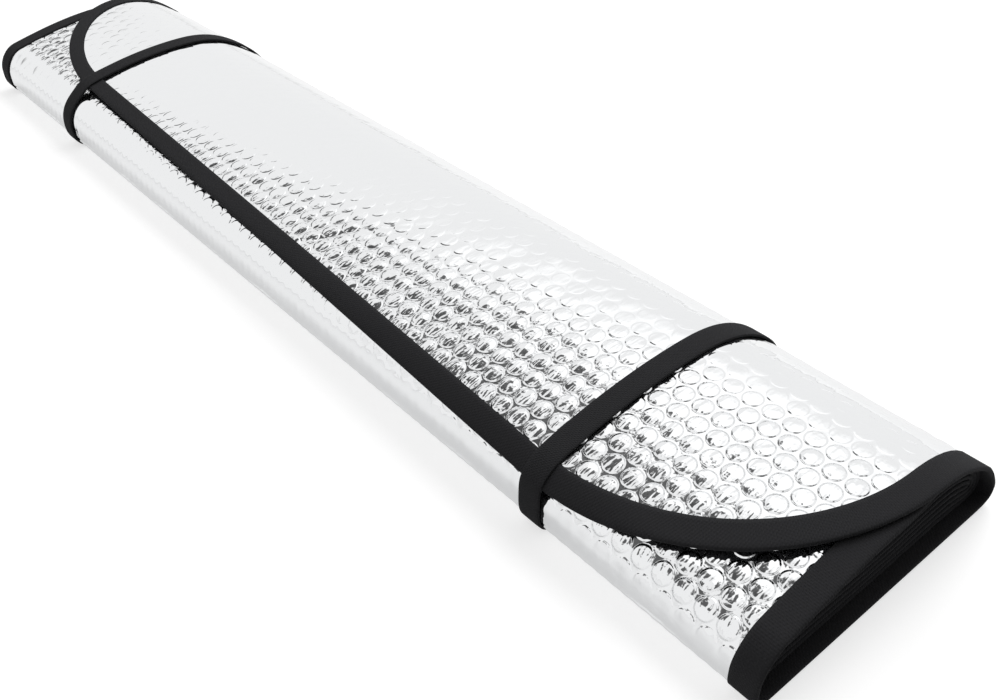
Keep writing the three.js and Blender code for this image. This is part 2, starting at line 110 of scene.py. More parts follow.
# Where the film swells free of what presses it: beyond a loop's edge, beyond the tape's inner
# edge, and out from under the flap, which presses it by this share
FREE_OF_LOOP = (0.4, 3.2)
FREE_OF_TAPE = (-0.2, 2.4)
UNDER_FLAP = (-6, 1.5)
FLAP_PRESSURE = 0.62

# Where bubbles stand out again on the roll's far side, as s, and by what share
BACK_LOOSE = (146, 162)
BACK_RELIEF = 0.7

# Creases of the flap: from s and x, to s and x, and the depth. They waver by a little, start
# over a short way and fade out over their last part.
CREASES = ((24, 26, 88, 76, 0.45), (64, 274, 96, 306, 0.35))
CREASE_HALF_WIDTH = 1.5
CREASE_WAVER = 0.7
CREASE_WAVER_REACH = 4
CREASE_START = (-3, 4)
CREASE_FADE_FROM = 0.6

# The crease along the left fold: its height up the fold, and the waves it sways in, each a
# share, a reach and a phase
SIDE_CREASE_UP = 14
SIDE_CREASE_DEPTH = 0.9
SIDE_CREASE_HALF_WIDTH = 0.9
SIDE_CREASE_SWAY = 1.1
SWAY_WAVES = ((0.6, 9, 0), (0.4, 23, 1))

# Faint ribs round the left fold, and the stretches of s over which they start and end, counted
# from the fold's start and end
SIDE_RIB_PITCH = 7
SIDE_RIB_HEIGHT = 0.09
RIB_WANDER = 2
RIB_WANDER_REACH = 31
RIBS_START = (-6, 6)
RIBS_END = (-14, -4)

# How finely the meshes are cut
SPANS_PER_BUBBLE = 8
LEAST_ROW_STEP = 0.3
LEAST_COLUMN_STEP = 0.4
CREASE_ROW_STEP = 0.3
CREASE_ROW_MARGIN = 0.2
COARSE_RUN_STEP = 7
COARSE_FOLD_STEP = 1.2
COARSE_COLUMNS = 60
RUN_POINTS = 480
FOLD_POINTS = 240
SLOPE_REACH = 0.25
OUTLINE_MARGIN = 2.5
OUTER_EDGE_STEP = 5
INNER_EDGE_STEP = 20
CORNER_POINTS = 60
INNER_CORNER_POINTS = 10
MERGE_DISTANCE = 0.00001

# Where the outer films start, and how far the side's film runs on past the left fold
FOIL_START = 9
SIDE_RUN = 90

# The backing's depth within the tape, and the way over which it comes out to its own
BACKING_EDGE_DEPTH = 0.3
BACKING_EDGE_REACH = 2

# The folded tape: points across a leaf and round its bend, and how deep the bend is as a share
# of a half circle
LEAF_POINTS = 7
BEND_SHARE = 0.85

# An elastic loop: how far along the second run it reaches round, how its outline is read, and
# its points, smoothings, softer edges and bevel
HELD_RUN = 84
HELD_STEP = 1.5
HELD_TAPE_MARGIN = 0.5
LOOP_POINTS = 220
LOOP_ROWS = 7
LOOP_SMOOTHINGS = 6
LOOP_EDGE_WIDTH = 0.1
LOOP_EDGE_DROP = 0.12
LOOP_BEVEL = 0.25

# The film's look. Heights of the bump are in metres. A bubble's ridges end between two distances
# from its middle, in millimetres.
FILM_COLOUR = "#F1F2F3"
FILM_ROUGHNESS = 0.055
RIDGES_PER_METRE = 300
RIDGE_STRETCH = (1, 0.3, 1)
RIDGE_LEAN = 0.12
CRUMPLES_PER_METRE = 420
CRUMPLE_HEIGHT = 0.00022
SLACK_PER_METRE = 34
SLACK_HEIGHT = 0.0016
RIDGE_END = (4, 5)
BUBBLED_RIDGE_HEIGHT = 0.0011
BUBBLED_RIM_HEIGHT = 0.00003
FLAT_RIDGE_HEIGHT = 0.0002
FLAT_RIM_HEIGHT = 0.0006

# Ridges and slack have this share of their height up to the roll's middle, and all of it from
# this far past it, in metres, towards the near end
RIDGE_GROWTH_REACH = 0.15
RIDGE_LEAST = 0.4

# The look of tape and elastic
CROSS_PITCH_SHARE = 0.8
FUZZ_PER_METRE = 1700
FUZZ_HEIGHT = 0.00006
WORN_COLOUR = "#2D2D2F"
WOVEN_ROUGHNESS = 0.92
WOVEN_SPECULAR = 0.15

# The white sweep: its half width and colour, and its glow to the camera and in the foil
SWEEP_REACH = 6
PAPER_COLOUR = "#ADADAD"
GLOW_TO_CAMERA = 0.68
GLOW_IN_FOIL = 0.48

# The surround. A patch is an azimuth, an elevation, and the angles from its middle to where it
# is full and to where it ends. A dark gap also has a depth. The unseen gap shades what is matt,
# and isn't mirrored.
WHITE = (1, 1, 1, 1)
SURROUND_WHITE = (0.95, 0.95, 0.95, 1)
GAP_BLACK = (0.02, 0.02, 0.021, 1)
DARK_GAPS = (
    ((170, 60, 8, 17), 0.9),
    ((189, 56, 8, 16), 0.93),
    ((169, 8, 7, 13), 0.88),
    ((186, 9, 7, 14), 0.88),
    ((236, 42, 9, 16), 0.9),
    ((345, 64, 8, 22), 0.92),
    ((338, 32, 5, 13), 0.85),
    ((15, 45, 5, 13), 0.85),
)
UNSEEN_GAP = (352, 6, 55, 75)
BRIGHT_PATCH = (120, 58, 8, 32)
BRIGHT_PATCH_STRENGTH = 1.3

# The lamp leans to face the part, and is turned by a few degrees
LAMP_PLACE = (-0.1, 0.95, 1.4)
LAMP_TURN = 4
LAMP_SIZE = 1.2
LAMP_WATTS = 20

# The camera looks down by its tilt, along its azimuth
CAMERA_PLACE = (0.4622, -0.298, 0.3407)
CAMERA_TILT = 37.64
CAMERA_AZIMUTH = 138.94
CAMERA_LENS = 39.2
SENSOR_WIDTH = 36

# Sizes that follow
HALF_LENGTH = ROLL_LENGTH / 2
SHEET_HALF = SHEET_THICKNESS / 2
BINDING_HALF = RIM_THICKNESS / 2 + CLEARANCE + TAPE_THICKNESS
SHEET_EDGE = TAPE_THICKNESS + CLEARANCE
BOTTOM_HEIGHT = STRAP_THICKNESS + CLEARANCE + SHEET_HALF
TOP_LEVEL = LAYERS - 1
RIGHT_CENTRE = TOP_LEVEL / 2
LEFT_CENTRE = (TOP_LEVEL - 1) / 2
SIDE_ALLOWANCE = STRAP_THICKNESS + CLEARANCE + SHEET_HALF


def smooth_step(low, high, value):
    """0 up to low, 1 from high, and a smooth rise between."""
    share = np.clip((value - low) / (high - low), 0, 1)
    return share * share * (3 - 2 * share)


def scatter(number, seed):
    """A steady random value from 0 to 1 for each numbered thing."""
    value = np.sin(number * 12.9898 + seed * 78.233) * 43758.5453
    return value - np.floor(value)


def fold_reach(half):
    """How far a fold reaches out sideways when it joins levels this far from its middle."""
    return INNER_FOLD_REACH + FOLD_PITCH * (half - 0.5)


RIGHT_FOLD_Y = ROLL_WIDTH / 2 - SIDE_ALLOWANCE - fold_reach(RIGHT_CENTRE)
LEFT_FOLD_Y = fold_reach(LEFT_CENTRE) + SIDE_ALLOWANCE - ROLL_WIDTH / 2


def crown_line(y):
    """The height of the top layer across the roll."""
    left = np.clip((CROWN_Y - y) / (CROWN_Y - LEFT_FOLD_Y), 0, None)
    right = np.clip((y - CROWN_Y) / (RIGHT_FOLD_Y - CROWN_Y), 0, None)
    return CROWN_HEIGHT - LEFT_DROP * left**LEFT_POWER - RIGHT_DROP * right**RIGHT_POWER


def level_height(y, level):
    """The height of a layer across the roll: even at the folds, lifted off the stack between."""
    top = crown_line(y)
    even = BOTTOM_HEIGHT + (top - BOTTOM_HEIGHT) * level / TOP_LEVEL
    middle = (RIGHT_FOLD_Y + LEFT_FOLD_Y) / 2
    across = np.minimum(1, np.abs(y - middle) / ((RIGHT_FOLD_Y - LEFT_FOLD_Y) / 2))
    swell = (1 - across**2) ** SWELL_POWER
    last_stacked = STACK_LAYERS - 1
    stacked = BOTTOM_HEIGHT + level * STACK_PITCH
    lifted = top - (TOP_LEVEL - level) * TOP_PITCH
    share = np.clip(level - last_stacked, 0, 1)
    lowest_lifted = top - (TOP_LEVEL - last_stacked - 1) * TOP_PITCH
    highest_stacked = BOTTOM_HEIGHT + last_stacked * STACK_PITCH
    between = highest_stacked + (lowest_lifted - highest_stacked) * share
    swollen = np.where(
        level <= last_stacked,
        stacked,
        np.where(level >= last_stacked + 1, lifted, between),
    )
    return even + (swollen - even) * swell


def roll_section():
    """The middle line of the sheet in section, and where its runs and folds start and end."""
    ys, zs, stretches = [], [], []

    def follow(y, z):
        start = len(ys)
        skip = 1 if ys else 0
        ys.extend(y[skip:])
        zs.extend(z[skip:])
        stretches.append((max(0, start - 1), len(ys) - 1))

    def run(level, from_y, to_y):
        y = np.linspace(from_y, to_y, RUN_POINTS)
        follow(y, level_height(y, level))

    def fold(side, half, from_angle, to_angle):
        angle = np.linspace(from_angle, to_angle, FOLD_POINTS)
        fold_y = RIGHT_FOLD_Y if side > 0 else LEFT_FOLD_Y
        centre = RIGHT_CENTRE if side > 0 else LEFT_CENTRE
        outerness = (half - 0.5) / (RIGHT_CENTRE - 0.5)
        power = np.where(np.cos(angle) < 0, 1 - LOWER_SQUARENESS * outerness, 1)
        out = np.clip(np.sin(angle), 0, 1) ** power
        up = np.sign(np.cos(angle)) * np.abs(np.cos(angle)) ** power
        y = fold_y + side * fold_reach(half) * out
        follow(y, level_height(y, centre + half * up))

    fold(-1, LEFT_CENTRE + 1, math.radians(FLAP_START_ANGLE), 0)
    turns = LAYERS // 2
    for turn in range(turns):
        run(TOP_LEVEL - turn, LEFT_FOLD_Y, RIGHT_FOLD_Y)
        fold(1, RIGHT_CENTRE - turn, 0, math.pi)
        last = turn + 1 == turns
        run(turn, RIGHT_FOLD_Y, LEFT_FOLD_Y + (INNER_END_SETBACK if last else 0))
        if not last:
            fold(-1, LEFT_CENTRE - turn, math.pi, 0)
    y, z = np.array(ys), np.array(zs)
    along = np.concatenate([[0], np.cumsum(np.hypot(np.diff(y), np.diff(z)))])
    return y, z, along, [(along[a], along[b]) for a, b in stretches]


SECTION_Y, SECTION_Z, SECTION_S, STRETCHES = roll_section()
SHEET_WIDTH = SECTION_S[-1]
FLAP_END = STRETCHES[1][1]
RIGHT_FOLD_END = STRETCHES[2][1]
LEFT_FOLD_START, LEFT_FOLD_END = STRETCHES[4]
SECOND_RUN_START = STRETCHES[5][0]

# Where the bubbles' relief fades on the flap and on the turn below it: a direction over the
# flat sheet, as shares of x and s, the distances that way at which it is full and least, and
# the least share
TOP_FADE = (-0.14, 1, 34, 80, 0.1)
SIDE_FADE = (-0.035, -1, 3 - LEFT_FOLD_END, 10 - LEFT_FOLD_END, 0.04)


def end_taper(x):
    """The roll flattens a little from the elastic loops towards its ends."""
    strap_x = np.where(x > 0, NEAR_STRAP_X, -FAR_STRAP_X)
    beyond = (np.abs(x) - strap_x) / (HALF_LENGTH - strap_x)
    return 1 - END_FLATTENING * np.clip(beyond, 0, 1)


def width_taper(x):
    """The roll is wound looser, so wider, at its near end."""
    return 1 + WIDTH_TAPER * x / HALF_LENGTH


def set_back(s, x):
    """The inner turns end a little short of the outer ones at the near end."""
    depth = smooth_step(*SETBACK_STRETCH, s - LEFT_FOLD_END)
    return x - INNER_SETBACK * depth * (x + HALF_LENGTH) / ROLL_LENGTH


def place(s, x, n):
    """Carries flat points of the sheet to their places in the roll, in metres."""
    y = np.interp(s, SECTION_S, SECTION_Y)
    z = np.interp(s, SECTION_S, SECTION_Z)
    ahead = np.minimum(s + SLOPE_REACH, SHEET_WIDTH)
    behind = np.maximum(s - SLOPE_REACH, 0)
    along_y = np.interp(ahead, SECTION_S, SECTION_Y) - np.interp(behind, SECTION_S, SECTION_Y)
    along_z = np.interp(ahead, SECTION_S, SECTION_Z) - np.interp(behind, SECTION_S, SECTION_Z)
    length = np.hypot(along_y, along_z)
    height = BOTTOM_HEIGHT + (z - BOTTOM_HEIGHT) * end_taper(x)
    across = y * width_taper(x) - along_z / length * n + FOOTPRINT_SHIFT
    placed = [set_back(s, x), across, height + along_y / length * n]
    return np.stack(placed, axis=-1) * METRES


def edge_shift(x):
    """How far the flap's free edge lies back, askew to the roll."""
    return FLAP_EDGE_OFFSET - FLAP_EDGE_SKEW * x


def to_s(t, x):
    """From a line's number t, which is 0 along the flap's edge, to the distance s."""
    return t + edge_shift(x) * np.maximum(0, 1 - t / FLAP_END)


def to_t(s, x):
    """From the distance s back to the number of the line that passes there."""
    shift = edge_shift(x)
    return np.where(s < FLAP_END, (s - shift) / (1 - shift / FLAP_END), s)


def flap_line(x, inset):
    """The line t of the sheet's outline at x, with the flap's two quarter-ellipse corners."""
    past = np.clip(np.abs(x) - (HALF_LENGTH - CORNER_LENGTH), 0, CORNER_LENGTH - inset)
    part = past / (CORNER_LENGTH - inset)
    return CORNER_WIDTH - (CORNER_WIDTH - inset) * np.sqrt(1 - part**2)


FLAP_RUN_Y = SECTION_Y[(SECTION_S > STRETCHES[1][0]) & (SECTION_S < FLAP_END)]
FLAP_RUN_S = SECTION_S[(SECTION_S > STRETCHES[1][0]) & (SECTION_S < FLAP_END)]
BUBBLE_S = float(np.interp(BUBBLE_Y - FOOTPRINT_SHIFT, FLAP_RUN_Y, FLAP_RUN_S))


def bubble_distance(s, x):
    """How far each point lies from the middle of its nearest bubble, and that bubble's number."""
    row = (s - BUBBLE_S + BUBBLE_ROW_SKEW * (x - BUBBLE_X)) / ROW_PITCH
    along = (x - BUBBLE_X - BUBBLE_ROW_SKEW * (s - BUBBLE_S)) / BUBBLE_PITCH
    best = np.full(np.shape(s), 1e9)
    number = np.zeros(np.shape(s))
    for near in (np.floor(row), np.floor(row) + 1):
        offset = (near % 2) / 2
        column = np.round(along - offset)
        own = near * NUMBERS_PER_ROW + column
        aside = (scatter(own, 3) - 0.5) * BUBBLE_STRAY
        astray = (scatter(own, 4) - 0.5) * BUBBLE_STRAY
        from_middle = (along - column - offset) * BUBBLE_PITCH - aside
        distance = np.hypot(from_middle, (row - near) * ROW_PITCH - astray)
        closer = distance < best
        best = np.where(closer, distance, best)
        number = np.where(closer, own, number)
    return best, number


def edge_distance(t, x):
    """About how far flat points lie in from the sheet's outline."""
    straight = np.minimum(t, HALF_LENGTH - np.abs(x))
    over = np.clip(CORNER_WIDTH - t, 0, None) / CORNER_WIDTH
    past = np.clip(np.abs(x) - (HALF_LENGTH - CORNER_LENGTH), 0, None) / CORNER_LENGTH
    reach = np.maximum(np.hypot(over, past), 0.001)
    slope = np.hypot(over / CORNER_WIDTH, past / CORNER_LENGTH) / reach
    corner = (1 - reach) / np.maximum(slope, 0.0001)
    return np.where((over > 0) & (past > 0), np.minimum(corner, straight), straight)


def pressed(s, x):
    """How freely the foil swells, from 0 under the elastic and the tape to 1 in the open."""
    free = np.ones(np.shape(s))
    for strap_x in (NEAR_STRAP_X, FAR_STRAP_X):
        free *= smooth_step(*FREE_OF_LOOP, np.abs(x - strap_x) - STRAP_WIDTH / 2)
    from_edge = edge_distance(to_t(s, x), x)
    free *= smooth_step(*FREE_OF_TAPE, from_edge - BINDING_WIDTH)
    growth = fold_reach(LEFT_CENTRE + 1) / fold_reach(LEFT_CENTRE)
    # What lies over a point of the second turn, on the flap's larger fold.
    past = s - LEFT_FOLD_END
    above_s = STRETCHES[1][0] + np.where(past < 0, past * growth, past)
    covered = to_t(above_s, x) - flap_line(x, 0)
    lapped = (s > LEFT_FOLD_START) & (np.abs(x) < HALF_LENGTH)
    under = smooth_step(*UNDER_FLAP, covered)
    return np.where(lapped, free * (1 - FLAP_PRESSURE * under), free)


def relief(s, x):
    """How far the bubbles stand out: in full by the flap's edge and at the near end, and less
    where the film is pulled tight round the roll."""
    parts = []
    for along, across, full_at, least_at, least in (TOP_FADE, SIDE_FADE):
        faded = smooth_step(full_at, least_at, along * x + across * s)
        parts.append(1 - (1 - least) * faded)
    loose = BACK_RELIEF * smooth_step(*BACK_LOOSE, s)
    return np.where(s < RIGHT_FOLD_END, np.maximum(parts[0], loose), parts[1])


def creased(s, x):
    """How deep the film lies in its creases and between the ribs of the left fold."""
    deep = 0
    for start_s, start_x, end_s, end_x, depth in CREASES:
        length = math.hypot(end_s - start_s, end_x - start_x)
        way_s, way_x = (end_s - start_s) / length, (end_x - start_x) / length
        along = (s - start_s) * way_s + (x - start_x) * way_x
        waver = CREASE_WAVER * np.sin(along / CREASE_WAVER_REACH)
        off = (x - start_x) * way_s - (s - start_s) * way_x + waver
        fading = smooth_step(length * CREASE_FADE_FROM, length, along)
        ends = smooth_step(*CREASE_START, along) * (1 - fading)
        deep = deep + depth * np.exp(-((off / CREASE_HALF_WIDTH) ** 2)) * ends
    waves = sum(share * np.sin(x / reach + phase) for share, reach, phase in SWAY_WAVES)
    off = s - LEFT_FOLD_START - SIDE_CREASE_UP - SIDE_CREASE_SWAY * waves
    deep = deep + SIDE_CREASE_DEPTH * np.exp(-((off / SIDE_CREASE_HALF_WIDTH) ** 2))
    wander = RIB_WANDER * np.sin(x / RIB_WANDER_REACH)
    ribs = np.sin(2 * math.pi * x / SIDE_RIB_PITCH + wander)
    on_fold = smooth_step(*RIBS_START, s - LEFT_FOLD_START)
    on_fold = on_fold * (1 - smooth_step(*RIBS_END, s - LEFT_FOLD_END))
    return deep + SIDE_RIB_HEIGHT * ribs * on_fold


def dome(s, x):
    """The height of the bubbled film over its valleys."""
    distance, number = bubble_distance(s, x)
    full = DOME_HEIGHT * (1 - HEIGHT_SPREAD * scatter(number, 1))
    radius = DOME_RADIUS - RADIUS_SPREAD * scatter(number, 2)
    shape = np.clip(1 - (distance / radius) ** DOME_POWER, 0, 1)
    return full * shape * pressed(s, x) * relief(s, x) - creased(s, x)


def finish_piece(name, bm, material):
    """Makes an object of a bmesh, smooth shaded, that rides on the part."""
    mesh = bpy.data.meshes.new(name)
    bm.to_mesh(mesh)
    bm.free()
    for polygon in mesh.polygons:
        polygon.use_smooth = True
    mesh.materials.append(material)
    piece = bpy.data.objects.new(name, mesh)
    bpy.context.scene.collection.objects.link(piece)
    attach(piece, "root")
    return piece


def flat_grid(columns, rows):
    """A grid of columns by rows points, and each point's column and row."""
    bm = bmesh.new()
    bmesh.ops.create_grid(bm, x_segments=columns - 1, y_segments=rows - 1, size=1)
    flat = np.array([vert.co[:2] for vert in bm.verts])
    column = np.rint((flat[:, 0] + 1) / 2 * (columns - 1)).astype(int)
    row = np.rint((flat[:, 1] + 1) / 2 * (rows - 1)).astype(int)
    return bm, column, row


def set_places(bm, places):
    for vert, at in zip(bm.verts, places):
        vert.co = at


def write_flat_map(bm, along, across):
    """Keeps the flat place of each point, in metres, as the piece's UV map."""
    flat_map = bm.loops.layers.uv.new("flat")
    u, v = along * METRES, across * METRES
    for face in bm.faces:
        for loop in face.loops:
            k = loop.vert.index
            loop[flat_map].uv = (u[k], v[k])


def film(name, s_rows, x_columns, height, material):
    """A stretch of film of the sheet. height gives n for flat points (s, x)."""
    bm, column, row = flat_grid(len(x_columns), len(s_rows))
    x, s = x_columns[column], s_rows[row]
    reach = HALF_LENGTH - SHEET_EDGE
    x = np.clip(x, -reach, reach)
    outline = to_s(flap_line(x, SHEET_EDGE), x)
    outside = s < outline - OUTLINE_MARGIN
    s = np.where(s < FLAP_END, np.maximum(s, outline), s)
    places = place(s, x, height(s, x))
    set_places(bm, places)
    bm.verts.index_update()
    write_flat_map(bm, x, s)
    bm.verts.ensure_lookup_table()
    bmesh.ops.delete(bm, geom=[bm.verts[k] for k in np.flatnonzero(outside)], context="VERTS")
    return finish_piece(name, bm, material)


def even_steps(start, end, step):
    return np.linspace(start, end, max(2, int(math.ceil(abs(end - start) / step)) + 1))


def bubble_rows(start, end):
    """Rows of points that fall on the bubbles' middles, with both ends kept."""
    step = ROW_PITCH / SPANS_PER_BUBBLE
    first, last = math.ceil((start - BUBBLE_S) / step), math.floor((end - BUBBLE_S) / step)
    rows = BUBBLE_S + np.arange(first, last + 1) * step
    rows = rows[(rows > start + LEAST_ROW_STEP) & (rows < end - LEAST_ROW_STEP)]
    return np.concatenate([[start], rows, [end]])


def bubble_columns():
    """Columns of points that fall on the bubbles' middles, with both edges kept."""
    step = BUBBLE_PITCH / SPANS_PER_BUBBLE
    phase = BUBBLE_X % step
    count = int(HALF_LENGTH / step) + 1
    columns = phase + np.arange(-count - 1, count + 1) * step
    reach = HALF_LENGTH - SHEET_EDGE
    inside = columns[np.abs(columns) < reach - LEAST_COLUMN_STEP]
    return np.concatenate([[-reach], inside, [reach]])


# Materials


def linear(colour):
    """Linear values of an sRGB hex colour."""
    values = [int(colour[k : k + 2], 16) / 255 for k in (1, 3, 5)]
    return [v / 12.92 if v <= 0.04045 else ((v + 0.055) / 1.055) ** 2.4 for v in values] + [1]


def node(tree, kind, inputs=(), **settings):
    """Adds a node with its settings, and with its sockets set or linked."""
    made = tree.nodes.new(kind)
    for key, value in settings.items():
        setattr(made, key, value)
    for key, value in dict(inputs).items():
        if isinstance(value, bpy.types.NodeSocket):
            tree.links.new(value, made.inputs[key])
        else:
            made.inputs[key].default_value = value
    return made


def new_material(name):
    material = bpy.data.materials.new(name)
    material.use_nodes = True
    material.node_tree.nodes.clear()
    return material, material.node_tree


def metallised_film(name, ridge, rim, fade):
    """Polyester film with a vapour coat of aluminium: a bright, slightly soft mirror, which
    the air bubbles pull into fine ridges. ridge and rim are heights of the bump."""
    material, tree = new_material(name)
    flat = node(tree, "ShaderNodeUVMap", uv_map="flat").outputs["UV"]
    # Ridges of puckered film over each bubble, about 3.3 mm apart, lying across the roll.
    ridge_place = node(
        tree,
        "ShaderNodeMapping",
        {"Vector": flat, "Scale": RIDGE_STRETCH, "Rotation": (0, 0, RIDGE_LEAN)},
    ).outputs["Vector"]
    ridges = node(
        tree,
        "ShaderNodeTexNoise",
        {"Vector": ridge_place, "Scale": RIDGES_PER_METRE, "Detail": 1.2, "Roughness": 0.5},
    ).outputs["Fac"]
    # Small crumples of the film, about 2.4 mm across.
    crumples = node(
        tree,
        "ShaderNodeTexNoise",
        {"Vector": flat, "Scale": CRUMPLES_PER_METRE, "Detail": 1.5, "Roughness": 0.5},
    ).outputs["Fac"]
    # Slack between the bubbles and along the roll, some 30 mm across.
    slack = node(
        tree,
        "ShaderNodeTexNoise",
        {"Vector": flat, "Scale": SLACK_PER_METRE, "Detail": 2, "Roughness": 0.5},
    ).outputs["Fac"]
    # The distance, in millimetres, from the nearest bubble's middle, over both sets of rows.
    cell = (1 / (BUBBLE_PITCH * METRES), 1 / (2 * ROW_PITCH * METRES), 1)
    size = (BUBBLE_PITCH, 2 * ROW_PITCH, 0)
    start_x = BUBBLE_X - BUBBLE_S * BUBBLE_ROW_SKEW
    start_s = BUBBLE_S + BUBBLE_X * BUBBLE_ROW_SKEW
    start = (-start_x * METRES * cell[0], -start_s * METRES * cell[1], 0)
    along_rows = node(
        tree, "ShaderNodeMapping", {"Vector": flat, "Rotation": (0, 0, BUBBLE_ROW_SKEW)}
    ).outputs["Vector"]
    lattice = node(
        tree, "ShaderNodeVectorMath", {0: along_rows, 1: cell, 2: start}, operation="MULTIPLY_ADD"
    ).outputs["Vector"]
    distances = []
    for offset in (0.5, 0):
        moved = node(
            tree, "ShaderNodeVectorMath", {0: lattice, 1: (offset, offset, 0)}, operation="ADD"
        ).outputs["Vector"]
        inside = node(
            tree, "ShaderNodeVectorMath", {0: moved}, operation="FRACTION"
        ).outputs["Vector"]
        centred = node(
            tree, "ShaderNodeVectorMath", {0: inside, 1: (-0.5, -0.5, 0)}, operation="ADD"
        ).outputs["Vector"]
        scaled = node(
            tree, "ShaderNodeVectorMath", {0: centred, 1: size}, operation="MULTIPLY"
        ).outputs["Vector"]
        distances.append(
            node(tree, "ShaderNodeVectorMath", {0: scaled}, operation="LENGTH").outputs["Value"]
        )
    distance = node(
        tree, "ShaderNodeMath", {0: distances[0], 1: distances[1]}, operation="MINIMUM"
    ).outputs["Value"]
    on_bubble = node(
        tree,
        "ShaderNodeMapRange",
        {
            "Value": distance,
            "From Min": RIDGE_END[0],
            "From Max": RIDGE_END[1],
            "To Min": 1,
            "To Max": 0,
        },
        interpolation_type="SMOOTHSTEP",
    ).outputs["Result"]
    along, across, full_at, least_at, least = fade
    spot = node(
        tree, "ShaderNodeVectorMath", {0: flat, 1: (along, across, 0)}, operation="DOT_PRODUCT"
    ).outputs["Value"]
    relief_here = node(
        tree,
        "ShaderNodeMapRange",
        {
            "Value": spot,
            "From Min": full_at * METRES,
            "From Max": least_at * METRES,
            "To Min": 1,
            "To Max": least,
        },
        interpolation_type="SMOOTHSTEP",
    ).outputs["Result"]
    length_place = node(tree, "ShaderNodeSeparateXYZ", {"Vector": flat}).outputs["X"]
    near_share = node(
        tree,
        "ShaderNodeMapRange",
        {
            "Value": length_place,
            "From Min": 0,
            "From Max": RIDGE_GROWTH_REACH,
            "To Min": RIDGE_LEAST,
            "To Max": 1,
        },
        interpolation_type="SMOOTHSTEP",
    ).outputs["Result"]
    puckered = node(
        tree, "ShaderNodeMath", {0: on_bubble, 1: near_share}, operation="MULTIPLY"
    ).outputs["Value"]
    ridged = node(
        tree, "ShaderNodeMath", {0: ridges, 1: puckered}, operation="MULTIPLY"
    ).outputs["Value"]
    height = node(
        tree, "ShaderNodeMath", {0: ridged, 1: ridge}, operation="MULTIPLY"
    ).outputs["Value"]
    height = node(
        tree,
        "ShaderNodeMath",
        {0: crumples, 1: CRUMPLE_HEIGHT, 2: height},
        operation="MULTIPLY_ADD",
    ).outputs["Value"]
    height = node(
        tree, "ShaderNodeMath", {0: on_bubble, 1: rim, 2: height}, operation="MULTIPLY_ADD"
    ).outputs["Value"]
    height = node(
        tree, "ShaderNodeMath", {0: height, 1: relief_here}, operation="MULTIPLY"
    ).outputs["Value"]
    slack_here = node(
        tree, "ShaderNodeMath", {0: slack, 1: near_share}, operation="MULTIPLY"
    ).outputs["Value"]
    height = node(
        tree,
        "ShaderNodeMath",
        {0: slack_here, 1: SLACK_HEIGHT, 2: height},
        operation="MULTIPLY_ADD",
    ).outputs["Value"]
    bump = node(
        tree, "ShaderNodeBump", {"Height": height, "Distance": 1, "Strength": 1}
    ).outputs["Normal"]
    shader = node(
        tree,
        "ShaderNodeBsdfPrincipled",
        {
            "Base Color": linear(FILM_COLOUR),
            "Metallic": 1,
            "Roughness": FILM_ROUGHNESS,
            "Normal": bump,
        },
    )
    node(tree, "ShaderNodeOutputMaterial", {"Surface": shader.outputs["BSDF"]})
    return material


def woven_black(name, colour, rib_pitch, rib_height):
    """Black polypropylene or rubber-cored yarn, woven flat: matte, with fine ribs across."""
    material, tree = new_material(name)
    flat = node(tree, "ShaderNodeUVMap", uv_map="flat").outputs["UV"]
    # A wave texture makes one wave in pi / (10 * scale) metres.
    waves = [
        node(
            tree,
            "ShaderNodeTexWave",
            {
                "Vector": flat,
                "Scale": math.pi / (10 * rib_pitch * METRES * share),
                "Distortion": distortion,
                "Detail": 1,
            },
            wave_type="BANDS",
            bands_direction=direction,
            wave_profile="SIN",
        ).outputs["Fac"]
        for share, distortion, direction in ((1, 0.4, "X"), (CROSS_PITCH_SHARE, 0.6, "DIAGONAL"))
    ]
    fuzz = node(
        tree, "ShaderNodeTexNoise", {"Vector": flat, "Scale": FUZZ_PER_METRE, "Detail": 2}
    ).outputs["Fac"]
    weave = node(
        tree, "ShaderNodeMath", {0: waves[0], 1: waves[1]}, operation="MULTIPLY"
    ).outputs["Value"]
    height = node(
        tree, "ShaderNodeMath", {0: weave, 1: rib_height * METRES}, operation="MULTIPLY"
    ).outputs["Value"]
    height = node(
        tree, "ShaderNodeMath", {0: fuzz, 1: FUZZ_HEIGHT, 2: height}, operation="MULTIPLY_ADD"
    ).outputs["Value"]
    bump = node(
        tree, "ShaderNodeBump", {"Height": height, "Distance": 1, "Strength": 1}
    ).outputs["Normal"]
    worn = node(
        tree,
        "ShaderNodeMixRGB",
        {"Fac": fuzz, "Color1": linear(colour), "Color2": linear(WORN_COLOUR)},
    ).outputs["Color"]
    shader = node(
        tree,
        "ShaderNodeBsdfPrincipled",
        {
            "Base Color": worn,
            "Roughness": WOVEN_ROUGHNESS,
            "Specular IOR Level": WOVEN_SPECULAR,
            "Normal": bump,
        },
    )
    node(tree, "ShaderNodeOutputMaterial", {"Surface": shader.outputs["BSDF"]})
    return material


bubble_foil = metallised_film(
    "bubbled metallised polyester film", BUBBLED_RIDGE_HEIGHT, BUBBLED_RIM_HEIGHT, TOP_FADE
)
side_foil = metallised_film(
    "bubbled metallised polyester film, second turn",
    BUBBLED_RIDGE_HEIGHT,
    BUBBLED_RIM_HEIGHT,
    SIDE_FADE,
)
backing_foil = metallised_film(
    "flat metallised polyester backing", FLAT_RIDGE_HEIGHT, FLAT_RIM_HEIGHT, TOP_FADE
)
woven_tape = woven_black("woven polypropylene tape", "#212122", 1.1, 0.16)
woven_elastic = woven_black("woven elastic", "#202021", 0.9, 0.18)


# The sheet's films: a bubbled one where it shows, flat ones elsewhere, and a backing


def bubbled_height(s, x):
    return DOME_BASE + dome(s, x)


def flat_height(s, x):
    return np.full(np.shape(s), DOME_BASE)


